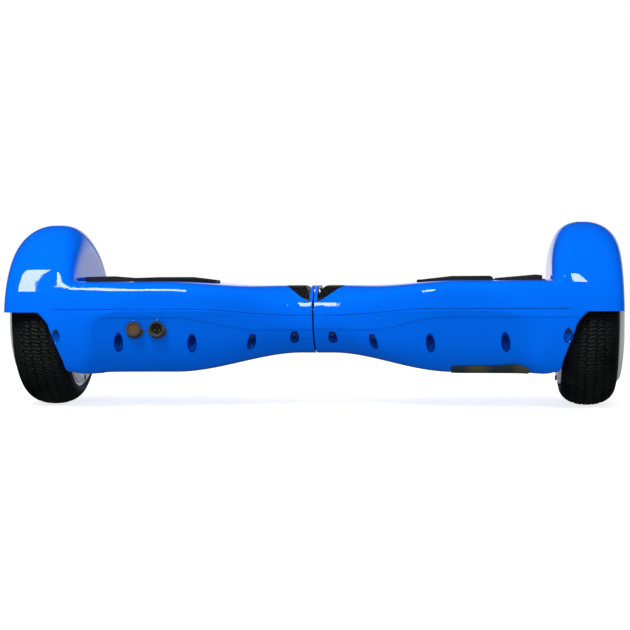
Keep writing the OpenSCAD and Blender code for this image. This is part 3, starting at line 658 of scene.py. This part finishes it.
def lower_casing(name, side):
    xs = np.concatenate([GAP_X + np.array(GAP_STEPS), np.arange(3.5, 225.9, 1.25), [WALL_X]])
    groove_at, groove_half, groove_deep = 3.35, 0.35, 0.08
    drops = np.array([0, 0.15, 0.35, 0.6, 0.9, 1.4, 2.0, 2.8, 3.05, 3.2, 3.35, 3.5, 3.65, 3.8, 4.1, 4.8, 5.6,
                      6.5])
    sides = np.arange(7.4, 34.0, 0.9)
    cheeks = np.linspace(0, 1, 16)[1:]
    outer, inner = [], []

    def station(x, cheek):
        seam = float(seam_z(x)) - SEAM_GAP
        below = np.concatenate([drops, sides])
        t_side = angle_at(x, seam - below)
        t_mid = np.linspace(t_side[-1], -math.pi - t_side[-1], 70)[1:-1]
        t = np.concatenate([t_side, t_mid, -math.pi - t_side[::-1]])
        gap = np.concatenate([below, np.full(len(t_mid), 99.0), below[::-1]])
        r = body_r(x, t)
        z = AXLE_Z + r * np.sin(t)
        xx = mix(x, np.maximum(x, cheek_x(z)), cheek)
        r = body_r(xx, t)
        z = AXLE_Z + r * np.sin(t)
        at_seam = gap == 0
        zz = np.where(at_seam, seam_z(xx) - SEAM_GAP, z)
        drop = np.maximum(round_edge(gap, SEAM_EDGE), round_edge(xx - GAP_X, EDGE) if cheek == 0 else 0)
        drop = np.maximum(drop, round_edge((1 - cheek) * 12, 1.2) if cheek > 0 else 0)
        groove = groove_deep * np.clip(1 - np.abs(gap - groove_at) / groove_half, 0, 1)
        ro = r - drop - groove - panel_step(xx, z, side)
        out = np.stack([xx, ro * np.cos(t), np.where(at_seam, zz, AXLE_Z + ro * np.sin(t))], -1)
        if cheek == 0:
            ri = np.minimum(body_r(x, t, WALL), ro - 0.5)
            xi = np.full(t.shape, x)
        else:
            ri = np.minimum(np.minimum(body_r(xx, t) - 2.4, WELL_R), ro - 0.5)
            xi = xx
        zi = np.where(at_seam, zz, AXLE_Z + ri * np.sin(t))
        return out, np.stack([xi, ri * np.cos(t), zi], -1)

    for x, cheek in [(x, 0) for x in xs] + [(WALL_X, k) for k in cheeks]:
        skin, inside = station(x, cheek)
        outer.append(skin)
        inner.append(inside)
    return shell_mesh(name, np.array(outer), np.array(inner))


def screw_y(i):
    if i == 4:
        return 90.6
    return float(body_r(SCREW_X[i], math.asin((SCREW_SEAT[i] - 3 - AXLE_Z) / 80))) - 6.2


def pocket_places():
    return [(i, SCREW_X[i], s * screw_y(i)) for i in range(5) for s in (-1, 1)]


def middle(node):
    """The middle of a CAD node's box, in millimetres."""
    low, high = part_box(node)
    return (low + high) / 2 / MM


PORT_Z = middle("charging_socket").z
SOCKET_X = middle("charging_socket").x
BUTTON_X = middle("power_button").x
# Outline of the headlight's opening on the far side, as (x, z)
HEADLIGHT = [(123.8, 80.2), (129.8, 71.8), (166, 66.7), (174.3, 70.8), (168.2, 78.7)]


def lower_solid(name):
    """The lower casing's outer skin as one solid, for trimming what sits under it."""
    xs = np.concatenate([[GAP_X + 0.3], np.arange(6.0, 225.0, 6.0), [WALL_X, 250.0]])
    loops = []
    for x in xs:
        t0 = float(angle_at(x, float(seam_z(x)) - SEAM_GAP, 0.3))
        t = np.linspace(t0, -math.pi - t0, 90)
        r = body_r(x, t, 0.3)
        loops.append(np.stack([np.full(t.shape, x), r * np.cos(t), AXLE_Z + r * np.sin(t)], -1))
    p = np.array(loops)
    rows, cols = p.shape[:2]
    faces = grid_faces(rows, cols, wrap_cols=True)
    faces += [tuple(range(cols)), tuple(range(rows * cols - 1, (rows - 1) * cols - 1, -1))]
    return mesh_from(name, p.reshape(-1, 3), faces)


def dimple(name, x, y, grow):
    """The outermost screw's pocket: a drop-shaped hollow in the cheek."""
    f = np.linspace(0, math.pi, 25)[1:-1]
    t = np.linspace(0, 2 * math.pi, 32, endpoint=False)
    width = np.sin(f)[:, None] * (1 + 0.25 * np.cos(f)[:, None])
    centre = y + math.copysign(1.8, y)
    verts = np.stack([x + (4.0 + grow) * width * np.cos(t), centre + (2.8 + grow) * width * np.sin(t),
                      70.5 - (7 + grow) * np.cos(f)[:, None] + 0 * t], -1)
    rows, cols = verts.shape[:2]
    faces = grid_faces(rows, cols, wrap_cols=True)
    faces += [tuple(range(cols)), tuple(range(rows * cols - 1, (rows - 1) * cols - 1, -1))]
    return mesh_from(name, verts.reshape(-1, 3), faces)


def cups():
    """Blind tubes above the screw pockets, closed by the screw seats."""
    out = []
    for i, x, y in pocket_places():
        seat = SCREW_SEAT[i]
        if i == 4:
            body = dimple("cup", x, y, 0.5)
            cut(body, dimple("hole", x, y, 0.0))
        else:
            body = tube("cup", (x, y), POCKET_R + 0.7, seat - 30, seat + 2)
            cut(body, tube("hole", (x, y), POCKET_R, seat - 40, seat))
        out.append(body)
    return join("cups", out)


def lower_parts(side):
    word = "right" if side > 0 else "left"
    base = lower_casing(f"{word}_lower_casing", side)
    tools = [dimple("t", x, y, 0.0) if i == 4 else tube("t", (x, y), POCKET_R, 20, SCREW_SEAT[i])
             for i, x, y in pocket_places()]
    if side < 0:
        tools.append(tube("t", (-SOCKET_X, PORT_Z), 7.5, -110, -60, "y"))
        tools.append(tube("t", (-BUTTON_X, PORT_Z), 7.2, -110, -60, "y"))
    cut(base, join("tools", tools))
    cut(base, prism("t", HEADLIGHT, 70, 110, "y"))
    shade(base)
    return base


def copy_of(ob):
    new = bpy.data.objects.new(ob.name, ob.data.copy())
    bpy.context.scene.collection.objects.link(new)
    return new


def build_casings():
    upper, upper_wall = upper_parts()
    cup_mesh = cups()
    cut(cup_mesh, lower_solid("trim"), "INTERSECT")
    lower_wall = end_wall("right_lower_wall", None, float(seam_z(226)) - SEAM_GAP)
    right = {"upper_casing": upper, "upper_wall": upper_wall, "lower_wall": lower_wall,
             "lower_cups": cup_mesh}
    left = {key: flip_x(f"left_{key}", ob) for key, ob in right.items()}
    right["lower_casing"] = lower_parts(1)
    model = lower_parts(-1)
    left["lower_casing"] = flip_x("left_lower_casing", model)
    bpy.data.objects.remove(model)
    for word, pieces in (("left", left), ("right", right)):
        for key, ob in pieces.items():
            ob.name = f"{word}_{key}"
            shade(ob)
            dress(ob, "blue_gloss")
            if key == "lower_cups":
                # The cups take the darker blue of the painted shade
                ob.data.materials[0] = POCKET_PAINTED_SHADE
            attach(ob, f"{word}_half")
            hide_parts(f"{word}_{key.split('_')[0]}_shell")


build_casings()


# ---------------------------------------------------------------- wheels
def tyre_mesh(name):
    """A pneumatic-look solid tyre: rounded crown, four ribs of siped blocks and shoulder lugs."""
    half, seat, top = 26.7, 66.0, 85.0
    steps = 720
    bead = [(-24.0, 67.5), (-24.6, 67.55), (-25.2, 67.6)]
    arch = [(-half * math.copysign(abs(math.cos(f)) ** 0.9, math.cos(f)),
             seat + (top - seat) * math.sin(f) ** 0.9)
            for f in np.radians(np.linspace(9, 171, 121))]
    outer = bead + arch + [(-x, r) for x, r in bead[::-1]]
    inner = [(21.0, 67.4), (20.1, 64.2), (-20.1, 64.2), (-21.0, 67.4)]
    p = np.array(outer + inner)
    t = np.linspace(0, 2 * math.pi, steps, endpoint=False)
    x = np.repeat(p[:, 0:1], steps, 1)
    r = np.repeat(p[:, 1:2], steps, 1)
    # Distance across the tread, measured around the rounded shoulder
    across = np.concatenate([[0], np.cumsum(np.hypot(*np.diff(p, axis=0).T))])
    across = (across - across[len(outer) // 2])[:, None] + np.zeros_like(x)
    tread = smooth(30.0, 27.5, np.abs(across)) * (np.arange(len(p)) < len(outer))[:, None]
    arc = t[None] * top
    wave = 0.7 * np.sin(t[None] * 72)
    grooves = 0
    for centre, width in ((-13.0, 1.5), (-4.6, 1.3), (4.6, 1.3), (13.0, 1.5)):
        grooves = np.maximum(grooves, smooth(width, width * 0.45, np.abs(across - centre - wave)))
    rib = np.floor((across + 30) / 8.6)
    pitch = 2 * math.pi * top / 144
    phase = arc / pitch + 0.5 * (rib % 2) + across / 18
    lug = np.abs((phase % 1) - 0.5) * pitch
    sipe = smooth(0.75, 0.3, lug)
    depth = np.maximum(grooves * 1.6, sipe * 1.0) * tread
    curve_n = np.gradient(p, axis=0)
    normal = np.stack([-curve_n[:, 1], curve_n[:, 0]], -1)
    normal /= np.linalg.norm(normal, axis=1)[:, None]
    x = x - normal[:, 0:1] * depth
    r = r - normal[:, 1:2] * depth
    verts = np.stack([WHEEL_X + x, r * np.cos(t), AXLE_Z + r * np.sin(t)], -1)
    return mesh_from(name, verts.reshape(-1, 3), grid_faces(len(p), steps, wrap_rows=True, wrap_cols=True))


def hub_cap(name):
    """Outer cap: a shallow dish with seven windows between its spokes, and a raised centre."""
    x = 287.4
    profile = rounded([(x, 0.5), (x, 63), (x + 3.3, 63), (x + 6, 59.5), (x + 7.8, 50), (x + 8.4, 20),
                       (x + 8.4, 0.5)], 0.8)
    cap = turned(name, profile, 168)
    windows = []
    for i in range(7):
        a = 2 * math.pi * i / 7
        outline = []
        for q in rounded([(22, -5), (24, 8), (50, 15), (54, -3)], 4.0, 5):
            outline.append((q[1] * math.cos(a) - q[0] * math.sin(a),
                            AXLE_Z + q[0] * math.cos(a) + q[1] * math.sin(a)))
        windows.append(prism("t", outline, x + 2.4, x + 12, "x"))
    cut(cap, join("t", windows))
    shade(cap)
    return cap


def motor_cover(name):
    x = 238.3
    profile = rounded([(x - 4.5, 9), (x - 4.5, 60), (x - 2.5, 64.5), (x - 0.1, 64.5), (x - 0.1, 50.8),
                       (x - 1.5, 48), (x - 1.5, 21.5), (x - 0.6, 9)], 0.7)
    cover = turned(name, profile, 144)
    # Cast ribs on the dished face
    ribs = []
    for i in range(12):
        a = 2 * math.pi * i / 12 + math.pi / 12
        outline = [(q[1] * math.cos(a) - q[0] * math.sin(a), AXLE_Z + q[0] * math.cos(a) + q[1] * math.sin(a))
                   for q in rounded([(16, -1.2), (16, 1.2), (54, 1.6), (54, -1.6)], 0.8, 3)]
        ribs.append(prism("t", outline, x - 5.1, x - 4.2, "x"))
    cover = join(name, [cover] + ribs)
    shade(cover)
    return cover


def build_wheels():
    makers = {"tyre": (tyre_mesh, "tyre", "tyre"), "hub_cap": (hub_cap, "grey_plastic", "hub_cap"),
              "cover": (motor_cover, "cast_alloy", "motor_cover")}
    for key, (make, slot, node) in makers.items():
        right = make(f"right_{key}_detail")
        left = flip_x(f"left_{key}_detail", right)
        for word, ob in (("right", right), ("left", left)):
            dress(ob, slot)
            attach(ob, f"{word}_wheel")
            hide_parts(f"{word}_{node}")


build_wheels()


# ---------------------------------------------------------------- foot pads and windows
def pad_height(x):
    """Height of the pad's top along the board: two wedges that rise outwards."""
    first = np.interp(x, [96, 102, 132, 171, 171.8], [122.3, 122.4, 125.6, 125.6, 122.5])
    second = np.interp(x, [174.6, 175.4, 217.5], [122.5, 123.3, 126.8])
    return np.where(x < 173.2, first, second)


def foot_pad(name):
    """Rubber pad with moulded cross bars, rounded at its rim."""
    step_edges = [171.0, 171.4, 171.8, 174.6, 175.0, 175.4, PAD_X1]
    xs = np.unique(np.concatenate([np.arange(PAD_X0, PAD_X1, 0.75), step_edges]))
    v = np.linspace(-1, 1, 97)
    half = PAD_HALF * np.maximum(0, 1 - ((PAD_X1 - xs) / (PAD_X1 - PAD_X0)) ** PAD_POWER) ** (1 / PAD_POWER)
    y = half[:, None] * v[None]
    x = np.repeat(xs[:, None], len(v), 1)
    z = pad_height(x)
    # Bars run front to back, and stop short of the rim
    edge = np.minimum(half[:, None] - np.abs(y), np.minimum(PAD_X1 - x, 40))
    pitch, stud = 5.25, 7.0
    bars = smooth(0.9, 0.3, np.abs(((x / pitch) % 1) - 0.5) * pitch)
    shift = 0.5 * (np.floor(x / pitch) % 2)
    studs = smooth(0.75, 0.25, np.abs(((y / stud + shift) % 1) - 0.5) * stud)
    z = z - 0.8 * np.maximum(bars, studs * 0.8) * smooth(3.5, 5.0, edge) - round_edge(edge, 1.0)
    top = np.stack([x, y, z], -1)
    low = top.copy()
    low[..., 2] = 119.3
    return shell_mesh(name, top, low)


def indicator(name):
    """Black window that follows the casing's waist, standing slightly proud, with a rounded rim."""
    ring = np.array(window_outline(0.0))
    levels = np.concatenate([[0.0, 0.012, 0.03, 0.06], np.linspace(0.1, 1, 24)])
    centre = np.array([13.0, 0.0])
    rows = []
    for f in levels:
        p = ring + (centre - ring) * f
        away = np.linalg.norm(ring - p, axis=1)
        height = surface_z(p[:, 0], p[:, 1]) - 0.15 - round_edge(away, 0.6)
        rows.append(np.stack([p[:, 0], p[:, 1], height], -1))
    top = np.array(rows)
    low = top.copy()
    low[..., 2] -= 2.0
    n, cols = top.shape[:2]
    verts = np.concatenate([top.reshape(-1, 3), low.reshape(-1, 3)])
    a = grid_faces(n, cols, wrap_cols=True)
    b = [tuple(v + n * cols for v in f[::-1]) for f in a]
    rim = [((i + 1) % cols, i, i + n * cols, (i + 1) % cols + n * cols) for i in range(cols)]
    return mesh_from(name, verts, a + b + rim)


def surface_z(x, y):
    """Height of the casing's upper surface over a point."""
    lo, hi = np.full(np.shape(x), 88.0), np.full(np.shape(x), 130.0)
    level = section(np.asarray(x), 0.0)
    for _ in range(26):
        m = (lo + hi) / 2
        out = level(np.asarray(y), m) > 1
        hi, lo = np.where(out, m, hi), np.where(out, lo, m)
    return (lo + hi) / 2


def build_top():
    makers = ((foot_pad, "pad_rubber", "black_rubber", "foot_pad", "pad"),
              (indicator, "window_panel", "black_gloss", "indicator_window", "half"))
    for make, key, slot, node, body in makers:
        right = make(f"right_{key}")
        left = flip_x(f"left_{key}", right)
        for word, ob in (("right", right), ("left", left)):
            dress(ob, slot)
            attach(ob, f"{word}_{body}")
            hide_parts(f"{word}_{node}")


build_top()


# ---------------------------------------------------------------- studio
# Strength of the light of the room, of what the floor adds below, and of the room's dark in reflections
ROOM = 0.36
GROUND = 0.26
DIM = 0.015


def area(name, place, target, size, power, roll=0.0):
    light = bpy.data.lights.new(name, "AREA")
    light.shape = "RECTANGLE"
    light.size, light.size_y = size
    light.energy = power
    ob = bpy.data.objects.new(name, light)
    bpy.context.scene.collection.objects.link(ob)
    ob.location = place
    aim = (Vector(target) - Vector(place)).to_track_quat("-Z", "Y")
    ob.rotation_euler = (aim @ Euler((0, 0, roll)).to_quaternion()).to_euler()
    return ob


def studio():
    scene = bpy.context.scene
    scene.view_settings.view_transform = "Standard"
    scene.view_settings.look = "None"
    me = bpy.data.meshes.new("studio_floor")
    bm = bmesh.new()
    bmesh.ops.create_grid(bm, x_segments=24, y_segments=24, size=6.0)
    bm.to_mesh(me)
    bm.free()
    floor = bpy.data.objects.new("studio_floor", me)
    scene.collection.objects.link(floor)
    m = Nodes("studio_floor")
    m.set(Base_Color=m.ramp(m.noise(3.0), [(0.3, (0.5, 0.5, 0.5)), (0.7, (0.52, 0.52, 0.52))]), Roughness=0.9,
          Specular_IOR_Level=0.1, Emission_Color=(1, 1, 1, 1), Emission_Strength=0.8)
    me.materials.append(m.material)
    floor.visible_glossy = False
    floor.visible_diffuse = False
    floor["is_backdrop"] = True

    world = bpy.data.worlds.new("studio")
    scene.world = world
    world.use_nodes = True
    tree = world.node_tree
    tree.nodes.clear()
    out = tree.nodes.new("ShaderNodeOutputWorld")

    def background(strength):
        node = tree.nodes.new("ShaderNodeBackground")
        node.inputs["Color"].default_value = (1, 1, 1, 1)
        if isinstance(strength, bpy.types.NodeSocket):
            tree.links.new(strength, node.inputs["Strength"])
        else:
            node.inputs["Strength"].default_value = strength
        return node.outputs[0]

    def either(switch, no, yes):
        node = tree.nodes.new("ShaderNodeMixShader")
        for socket, source in zip(node.inputs, (switch, no, yes)):
            tree.links.new(source, socket)
        return node.outputs[0]

    # Polished faces see a dark room with two white cards, low and behind the board
    path = tree.nodes.new("ShaderNodeLightPath")
    split = tree.nodes.new("ShaderNodeSeparateXYZ")
    tree.links.new(tree.nodes.new("ShaderNodeTexCoord").outputs["Generated"], split.inputs[0])

    def window(axis, *edges):
        """1 between the middle two edges, fading to 0 at the outer two."""
        parts = []
        for low, high in (edges[:2], edges[:1:-1]):
            node = tree.nodes.new("ShaderNodeMapRange")
            tree.links.new(split.outputs[axis], node.inputs["Value"])
            node.inputs["From Min"].default_value, node.inputs["From Max"].default_value = low, high
            parts.append(node.outputs["Result"])
        return maths("MULTIPLY", *parts)

    def maths(operation, first, second):
        node = tree.nodes.new("ShaderNodeMath")
        node.operation = operation
        for socket, value in zip(node.inputs, (first, second)):
            if isinstance(value, bpy.types.NodeSocket):
                tree.links.new(value, socket)
            else:
                socket.default_value = value
        return node.outputs[0]

    cards = maths("ADD", window("X", 0.05, 0.14, 0.7, 0.9), window("X", -0.3, -0.22, 0.03, 0.045))
    low_back = maths("MULTIPLY", window("Z", -0.2, -0.1, 0.12, 0.3), window("Y", 0.1, 0.4, 2, 3))
    white = maths("ADD", maths("MULTIPLY", cards, low_back), DIM)
    # Matt faces see an even room, and a paler one below, as over a white floor
    room = maths("ADD", maths("MULTIPLY", window("Z", -3, -2, -0.15, 0.15), GROUND), ROOM)
    lit = either(path.outputs["Is Glossy Ray"], background(room), background(white))
    tree.links.new(either(path.outputs["Is Camera Ray"], lit, background(1.0)), out.inputs[0])

    # Soft boxes high in front; their reflections are the highlights on the shoulders and the fenders
    area("key", (-0.31, -0.95, 1.12), (-0.05, 0, 0.09), (0.44, 0.5), 12)
    area("key_left", (-0.632, -0.95, 1.12), (-0.26, 0, 0.12), (0.042, 0.7), 1.6, roll=0.24)
    area("key_right", (0.335, -0.95, 1.14), (0.25, 0, 0.12), (0.022, 0.26), 0.3)
    fill = area("fill", (0.3, -1.9, 0.9), (0, 0, 0.09), (1.6, 0.9), 5)
    fill.visible_glossy = False
    top = area("top", (0.0, 0.1, 2.0), (0, 0, 0.1), (2.2, 1.4), 9)
    top.visible_glossy = False


def camera():
    """The camera stands at the charging side, a little to the right, low and far off."""
    low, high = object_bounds()
    target = Vector((0, 0, (low[2] + high[2]) / 2))
    azimuth, elevation, roll = math.radians(5.24), math.radians(1.6), -0.0048
    distance = 1.6226
    level = math.cos(elevation)
    back = Vector((math.sin(azimuth) * level, -math.cos(azimuth) * level, math.sin(elevation)))
    cam = bpy.data.cameras.new("camera")
    ob = bpy.data.objects.new("camera", cam)
    bpy.context.scene.collection.objects.link(ob)
    ob.location = target + back * distance
    turn = (-back).to_track_quat("-Z", "Y") @ Euler((0, 0, roll)).to_quaternion()
    ob.rotation_euler = turn.to_euler()
    cam.sensor_width = 36
    cam.lens = 93.9
    cam.shift_x, cam.shift_y = -0.0038, -0.0019
    cam.clip_start = 0.05
    bpy.context.scene.camera = ob


studio()
camera()
